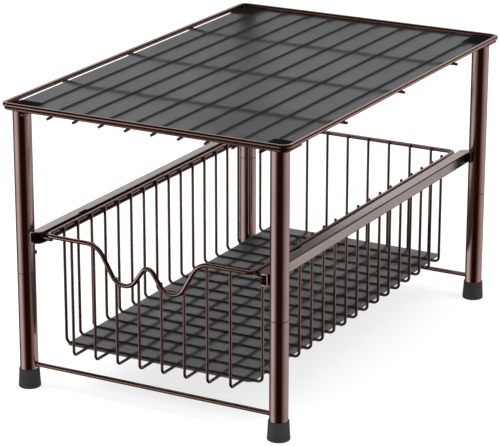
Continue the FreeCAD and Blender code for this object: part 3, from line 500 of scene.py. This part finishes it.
def shelf_welds(long_x, cross_y):
    """Beads where the shelf's wires cross each other, the bars and the rim."""
    bar_contact = SHELF_BAR_Z - SHELF_BAR_RADIUS
    wire_contact = (LONG_WIRE_LEVEL + CROSS_WIRE_LEVEL) / 2
    rim_contact = CROSS_WIRE_Z + CROSS_WIRE_RADIUS
    bars = [(x, y, bar_contact) for x in long_x for y in (-SHELF_BAR_Y, SHELF_BAR_Y)]
    crossings = [(x, y, wire_contact) for x in long_x for y in cross_y]
    ends = [(x, y, rim_contact) for x in (-RIM_X, RIM_X) for y in cross_y]
    make_piece("shelf_welds", joined([
        beads(bars + crossings, CROSSING_BEAD),
        beads(ends, RIM_BEAD),
    ]), "frame", bronze, "bronze_metal")


def basket_pieces():
    """Rim, wires, runners and liner of the basket, which stands a little forward of the frame's middle."""
    forward = -BASKET_FORWARD * Y_AXIS
    side_y = row(SIDE_WIRE_COUNT, SIDE_WIRE_PITCH)
    front_x = row(FRONT_WIRE_COUNT, FRONT_WIRE_PITCH)
    level = [(DIP_SHOULDER_X, -BASKET_Y, 0), (BASKET_X, -BASKET_Y, 0), (BASKET_X, BASKET_Y, 0),
             (-BASKET_X, BASKET_Y, 0), (-BASKET_X, -BASKET_Y, 0), (-DIP_SHOULDER_X, -BASKET_Y, 0)]
    dip = np.stack([DIP[1:-1, 0], np.full(len(DIP) - 2, -BASKET_Y), DIP[1:-1, 1]], axis=1)
    route = np.vstack([rounded_route(level, BASKET_CORNER), dip]) + BASKET_RIM_Z * Z_AXIS + forward
    make_piece("basket_rim_rod", rod(route, BASKET_RIM_RADIUS, Z_AXIS, ROD_SIDES, closed=True),
               "basket", bronze, "bronze_metal", "basket_rim")
    tops = [(BASKET_WIRE_TOP, BASKET_WIRE_TOP)] * len(side_y)
    wires = u_wires(SIDE_WIRE_X, SIDE_WIRE_Z, tops, side_y, X_AXIS, BASKET_BEND, BASKET_WIRE_RADIUS)
    make_piece("basket_side_wire_rods", moved(wires, forward), "basket", wire_bronze_painted_shade, "bronze_metal",
               "basket_side_wires")
    tops = [(top, BASKET_WIRE_TOP) for top in front_top(front_x)]
    wires = u_wires(FRONT_WIRE_Y, FRONT_WIRE_Z, tops, front_x, Y_AXIS, BASKET_BEND, BASKET_WIRE_RADIUS)
    make_piece("basket_long_wire_rods", moved(wires, forward), "basket", wire_bronze_painted_shade, "bronze_metal",
               "basket_long_wires")
    for name, sign in (("left_runner", -1), ("right_runner", 1)):
        corners = [(sign * RUNNER_TIP_X, -RUNNER_Y, RUNNER_Z), (sign * RUNNER_X, -RUNNER_Y, RUNNER_Z),
                   (sign * RUNNER_X, RUNNER_Y, RUNNER_Z), (sign * RUNNER_TIP_X, RUNNER_Y, RUNNER_Z)]
        route = rounded_route(corners, RUNNER_BEND) + forward
        make_piece(name + "_rod", rod(route, RUNNER_RADIUS, Z_AXIS, ROD_SIDES), "basket", bronze,
                   "bronze_metal", name)
    sheet = rounded_sheet(BASKET_LINER_X, BASKET_LINER_Y, BASKET_LINER_CORNER, BASKET_LINER_Z,
                          BASKET_LINER_THICKNESS)
    make_piece("basket_liner_sheet", moved(sheet, forward + BASKET_LINER_SHIFT * Y_AXIS), "basket", frosted,
               "frosted_plastic", "basket_liner")
    basket_welds(side_y, front_x)


def basket_welds(side_y, front_x):
    """Beads where the basket's wires meet the rim and each other, and where the runners meet the rim."""
    side_contact = BASKET_X - BASKET_RIM_RADIUS
    end_contact = BASKET_Y - BASKET_RIM_RADIUS
    floor_contact = FRONT_WIRE_Z + BASKET_WIRE_RADIUS
    sides = [(x, y, BASKET_RIM_Z) for x in (-side_contact, side_contact) for y in side_y]
    backs = [(x, end_contact, BASKET_RIM_Z) for x in front_x]
    dips = BASKET_RIM_Z + np.interp(front_x, DIP[:, 0], DIP[:, 1], left=0.0, right=0.0)
    fronts = list(zip(front_x, np.full(len(front_x), -end_contact), dips))
    floor = [(x, y, floor_contact) for x in front_x for y in side_y]
    runners = [(sign * BASKET_X, y, BASKET_RIM_Z - BASKET_RIM_RADIUS)
               for sign in (-1, 1) for y in (-RUNNER_Y, RUNNER_Y)]
    welds = joined([
        beads(sides, BASKET_SIDE_BEAD),
        beads(backs + fronts, BASKET_END_BEAD),
        beads(floor, CROSSING_BEAD),
        beads(runners, RUNNER_BEAD),
    ])
    make_piece("basket_welds", moved(welds, -BASKET_FORWARD * Y_AXIS), "basket", bronze, "bronze_metal")


def clip_spring(level, corner, middle, facing):
    """A clip of bent strip inside a leg, its front behind the button."""
    corners = [middle + SPRING_FRONT * facing + SPRING_TOP * Z_AXIS,
               middle + SPRING_FRONT * facing + SPRING_BOTTOM * Z_AXIS,
               middle + SPRING_BACK * facing + SPRING_BOTTOM * Z_AXIS,
               middle + SPRING_BACK * facing + SPRING_TOP * Z_AXIS]
    route = rounded_route(corners, SPRING_BEND)
    across = np.cross(Z_AXIS, facing)
    piece = make_piece("%s_spring_strip_%s" % (level, corner),
                       strip(route, across, SPRING_WIDTH, SPRING_THICKNESS, SPRING_EDGE),
                       None, spring_steel, "spring_steel", "%s_spring_%s" % (level, corner))
    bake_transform(piece)


def leg_pieces():
    """Feet, snap buttons with their springs, and welds. Tubes, plates, floor bars and rails stay as packed."""
    foot_profile = np.vstack([
        [(0.0, FOOT_BOTTOM_RADIUS - 2 * FOOT_EDGE)],
        quarter((FOOT_EDGE, FOOT_BOTTOM_RADIUS - FOOT_EDGE), FOOT_EDGE, -90, 0),
        quarter((FOOT_HEIGHT - FOOT_EDGE / 2, FOOT_TOP_RADIUS - FOOT_EDGE / 2), FOOT_EDGE / 2, 0, 90),
        [(FOOT_HEIGHT, LEG_RADIUS), (FOOT_FLOOR, LEG_RADIUS)],
    ])
    button_profile = np.vstack([
        [(BUTTON_FLANGE_BACK, BUTTON_FLANGE_RADIUS), (BUTTON_FLANGE_FRONT, BUTTON_FLANGE_RADIUS),
         (BUTTON_FLANGE_FRONT, BUTTON_RADIUS)],
        quarter((BUTTON_TIP - BUTTON_DOME, BUTTON_RADIUS - BUTTON_DOME), BUTTON_DOME, 0, 90, DOME_STEPS),
    ])
    for corner, (sign_x, sign_y) in CORNERS.items():
        foot = (sign_x * LEG_X, sign_y * LEG_Y, 0.0)
        make_piece("foot_cup_" + corner, turned(foot_profile, foot, Z_AXIS, X_AXIS), "frame", rubber,
                   "rubber", "foot_" + corner)
        for level, z in BUTTON_Z.items():
            angle = math.radians(BUTTON_ANGLES[level][corner])
            facing = np.array((math.sin(angle), -math.cos(angle), 0.0))
            middle = np.array((foot[0], foot[1], z))
            make_piece("%s_button_pin_%s" % (level, corner),
                       turned(button_profile, middle, facing, Z_AXIS, ROD_SIDES),
                       "snap_%s_%s" % (level, corner), bronze, "bronze_metal",
                       "%s_button_%s" % (level, corner))
            clip_spring(level, corner, middle, facing)
    rail_middle = (RAIL_BOTTOM + RAIL_TOP) / 2
    bars = [(sign_x * (LEG_X - LEG_RADIUS), sign_y * LEG_Y, FLOOR_BAR_Z)
            for sign_x, sign_y in CORNERS.values()]
    rails = [(sign_x * RAIL_FACE_X, sign_y * LEG_Y + side * RAIL_BEAD_SPREAD, rail_middle)
             for sign_x, sign_y in CORNERS.values() for side in (-1, 1)]
    make_piece("leg_welds", joined([
        beads(bars, FLOOR_BAR_BEAD, sides=WIDE_BEAD_SIDES),
        beads(rails, RAIL_BEAD),
    ]), "frame", bronze, "bronze_metal")


def dress_nodes():
    """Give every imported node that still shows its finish."""
    for name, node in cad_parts.items():
        material = spring_steel if "_spring_" in name else bronze
        # Rails take the greyer copy of the bronze, a painted reflection.
        if name.endswith("_rail"):
            material = rail_bronze_painted_reflection
        if name.startswith("foot_"):
            material = rubber
        if name.endswith("_liner"):
            material = frosted
        node.data.materials.clear()
        node.data.materials.append(material)


# Studio.

PHOTO_WIDTH, PHOTO_HEIGHT = 500, 446
FOCAL_PIXELS = 2468.3
PRINCIPAL = (240.776, 259.065)
CAMERA_PLACE = (1.00674, -1.86025, 0.80546)
CAMERA_RIGHT = (0.87510, 0.48394, 0.0)
CAMERA_UP = (-0.15749, 0.28478, 0.94556)
SENSOR = 36.0
CLIP_END = 100.0


def add_camera():
    """The photograph's camera: its place, its turn, and a small shift for its framing."""
    data = bpy.data.cameras.new("camera")
    data.sensor_width = SENSOR
    data.lens = FOCAL_PIXELS * SENSOR / PHOTO_WIDTH
    data.shift_x = (PHOTO_WIDTH / 2 - PRINCIPAL[0]) / PHOTO_WIDTH
    data.shift_y = (PRINCIPAL[1] - PHOTO_HEIGHT / 2) / PHOTO_WIDTH
    data.clip_end = CLIP_END
    camera = bpy.data.objects.new("camera", data)
    bpy.context.scene.collection.objects.link(camera)
    right, up = unit(np.array(CAMERA_RIGHT)), unit(np.array(CAMERA_UP))
    turn = np.eye(4)
    turn[:3, :3] = np.stack([right, up, np.cross(right, up)], axis=1)
    turn[:3, 3] = CAMERA_PLACE
    camera.matrix_world = mathutils.Matrix(turn.tolist())
    bpy.context.scene.camera = camera


# Lamps: name, place, target, size and power.
SOFTBOXES = (
    ("top_softbox", (-0.3, -0.3, 2.2), (0.0, 0.0, 0.1), (2.4, 2.4), 60.0),
    ("left_softbox", (-1.9, -0.9, 1.1), (0.0, 0.0, 0.12), (1.0, 1.8), 24.0),
    ("right_softbox", (1.7, 0.5, 1.0), (0.0, 0.0, 0.12), (1.0, 1.8), 18.0),
)


def add_softbox(name, place, target, size, power):
    """A rectangular lamp that faces a target."""
    data = bpy.data.lights.new(name, "AREA")
    data.shape = "RECTANGLE"
    data.size, data.size_y = size
    data.energy = power
    lamp = bpy.data.objects.new(name, data)
    bpy.context.scene.collection.objects.link(lamp)
    back = unit(np.array(place) - np.array(target))
    right = unit(np.cross(Z_AXIS, back))
    turn = np.eye(4)
    turn[:3, :3] = np.stack([right, np.cross(back, right), back], axis=1)
    turn[:3, 3] = place
    lamp.matrix_world = mathutils.Matrix(turn.tolist())
    lamp.visible_glossy = False


# Walls of the studio that metal sees: headings, how fast each fades to its sides, and strengths.
LEFT_WALL, LEFT_FADE, LEFT_POWER = (-0.829, -0.559, 0.0), 0.5, 2.2
RIGHT_WALL, RIGHT_FADE, RIGHT_POWER = (0.707, 0.707, 0.0), 0.22, 1.0
BACK_WALL, BACK_FADE, BACK_POWER = (-0.484, 0.875, 0.0), 0.55, 1.3
LEFT_LIGHT, RIGHT_LIGHT, BACK_LIGHT = 1.0, 0.72, 0.95
# Heights, as the upward share of a direction, between which each wall's foot or top fades.
FLOOR_FADE, LEFT_TOP, RIGHT_TOP = (-0.55, -0.38), (0.25, 0.0), (0.15, -0.1)
BACK_FOOT, BACK_TOP = (0.1, 0.35), (0.9, 0.7)
# Tones of the walls' light, from the dark of the room to white.
WALL_TONES = ((0.0, (0.024, 0.004, 0.001)), (0.25, (0.25, 0.165, 0.15)), (0.6, (0.6, 0.53, 0.51)),
              (1.0, (1.0, 1.0, 1.0)))
ROOM_LIGHT = 0.55


def add_world():
    """White for the camera and through plastic, a plain level of light for the rest, and walls for metal.

    A wall's light is ((cosine of the angle from its heading - fade) / (1 - fade)) to a power, times a
    share that follows the height: the left and right walls end near the horizon and the back one
    stands above it. The sum picks a tone between the dark of the room and white.
    """
    world = bpy.data.worlds.new("studio")
    bpy.context.scene.world = world
    world.use_nodes = True
    nodes, links = world.node_tree.nodes, world.node_tree.links
    backdrop = nodes["Background"]
    path = nodes.new("ShaderNodeLightPath")

    def feed(socket, source):
        if hasattr(source, "links"):
            links.new(source, socket)
        else:
            socket.default_value = source

    def compute(operation, first, second, clamp=True):
        node = nodes.new("ShaderNodeMath")
        node.operation = operation
        node.use_clamp = clamp
        feed(node.inputs[0], first)
        feed(node.inputs[1], second)
        return node.outputs[0]

    def turn(operation, first, second=(0.0, 0.0, 0.0)):
        node = nodes.new("ShaderNodeVectorMath")
        node.operation = operation
        feed(node.inputs[0], first)
        feed(node.inputs[1], second)
        return node

    def ramp(source, low, high, start=0.0, end=1.0, kind="SMOOTHSTEP"):
        node = nodes.new("ShaderNodeMapRange")
        node.interpolation_type = kind
        for socket, number in zip(("From Min", "From Max", "To Min", "To Max"), (low, high, start, end)):
            node.inputs[socket].default_value = number
        links.new(source, node.inputs["Value"])
        return node.outputs["Result"]

    def wall(heading, toward, fade, power, light, share):
        cosine = turn("DOT_PRODUCT", heading, toward).outputs["Value"]
        lit = compute("POWER", ramp(cosine, fade, 1.0, kind="LINEAR"), power)
        return compute("MULTIPLY", compute("MULTIPLY", lit, share), light, clamp=False)

    place = nodes.new("ShaderNodeTexCoord").outputs["Generated"]
    apart = nodes.new("ShaderNodeSeparateXYZ")
    links.new(place, apart.inputs[0])
    height = apart.outputs["Z"]
    heading = turn("NORMALIZE", turn("MULTIPLY", place, (1.0, 1.0, 0.0)).outputs[0]).outputs[0]
    above_floor = ramp(height, *FLOOR_FADE)
    left_share = compute("MULTIPLY", above_floor, ramp(height, *LEFT_TOP))
    right_share = compute("MULTIPLY", above_floor, ramp(height, *RIGHT_TOP))
    back_share = compute("MULTIPLY", ramp(height, *BACK_FOOT), ramp(height, *BACK_TOP))
    left = wall(heading, LEFT_WALL, LEFT_FADE, LEFT_POWER, LEFT_LIGHT, left_share)
    right = wall(heading, RIGHT_WALL, RIGHT_FADE, RIGHT_POWER, RIGHT_LIGHT, right_share)
    back = wall(heading, BACK_WALL, BACK_FADE, BACK_POWER, BACK_LIGHT, back_share)
    walls = compute("ADD", left, right, clamp=False)
    walls = compute("ADD", walls, back, clamp=False)
    tones = nodes.new("ShaderNodeValToRGB")
    tones.color_ramp.elements.remove(tones.color_ramp.elements[1])
    for index, (position, tone) in enumerate(WALL_TONES):
        element = tones.color_ramp.elements.new(position) if index else tones.color_ramp.elements[0]
        element.position = position
        element.color = (*tone, 1.0)
    links.new(walls, tones.inputs["Fac"])
    plain = nodes.new("ShaderNodeMix")
    plain.data_type = "RGBA"
    shown = compute("ADD", path.outputs["Is Camera Ray"], path.outputs["Is Transmission Ray"])
    links.new(shown, plain.inputs["Factor"])
    plain.inputs[6].default_value = (ROOM_LIGHT, ROOM_LIGHT, ROOM_LIGHT, 1.0)
    plain.inputs[7].default_value = (1.0, 1.0, 1.0, 1.0)
    either = nodes.new("ShaderNodeMix")
    either.data_type = "RGBA"
    links.new(path.outputs["Is Glossy Ray"], either.inputs["Factor"])
    links.new(plain.outputs[2], either.inputs[6])
    links.new(tones.outputs["Color"], either.inputs[7])
    links.new(either.outputs[2], backdrop.inputs["Color"])
    backdrop.inputs["Strength"].default_value = 1.0


FLOOR_SIZE = 30.0
FLOOR_GLOW = 0.72
FLOOR_COLOUR = (0.33, 0.33, 0.33, 1.0)


def add_floor():
    """A wide pale floor. What the camera sees of it is mostly glow, so that shadows stay pale."""
    half = FLOOR_SIZE / 2
    mesh = bpy.data.meshes.new("floor")
    mesh.from_pydata(rectangle(half, half, 0.0), [], [(0, 1, 2, 3)])
    floor = bpy.data.objects.new("floor", mesh)
    bpy.context.scene.collection.objects.link(floor)
    material = bpy.data.materials.new("studio_floor")
    material.use_nodes = True
    nodes, links = material.node_tree.nodes, material.node_tree.links
    nodes.remove(nodes["Principled BSDF"])
    matt = nodes.new("ShaderNodeBsdfDiffuse")
    matt.inputs["Color"].default_value = FLOOR_COLOUR
    glow = nodes.new("ShaderNodeEmission")
    glow.inputs["Strength"].default_value = FLOOR_GLOW
    both = nodes.new("ShaderNodeAddShader")
    links.new(matt.outputs[0], both.inputs[0])
    links.new(glow.outputs[0], both.inputs[1])
    links.new(both.outputs[0], nodes["Material Output"].inputs["Surface"])
    mesh.materials.append(material)
    floor.visible_glossy = False


dress_nodes()
shelf_pieces()
basket_pieces()
leg_pieces()
add_camera()
add_world()
add_floor()
for softbox in SOFTBOXES:
    add_softbox(*softbox)
bpy.context.scene.view_settings.view_transform = "Standard"
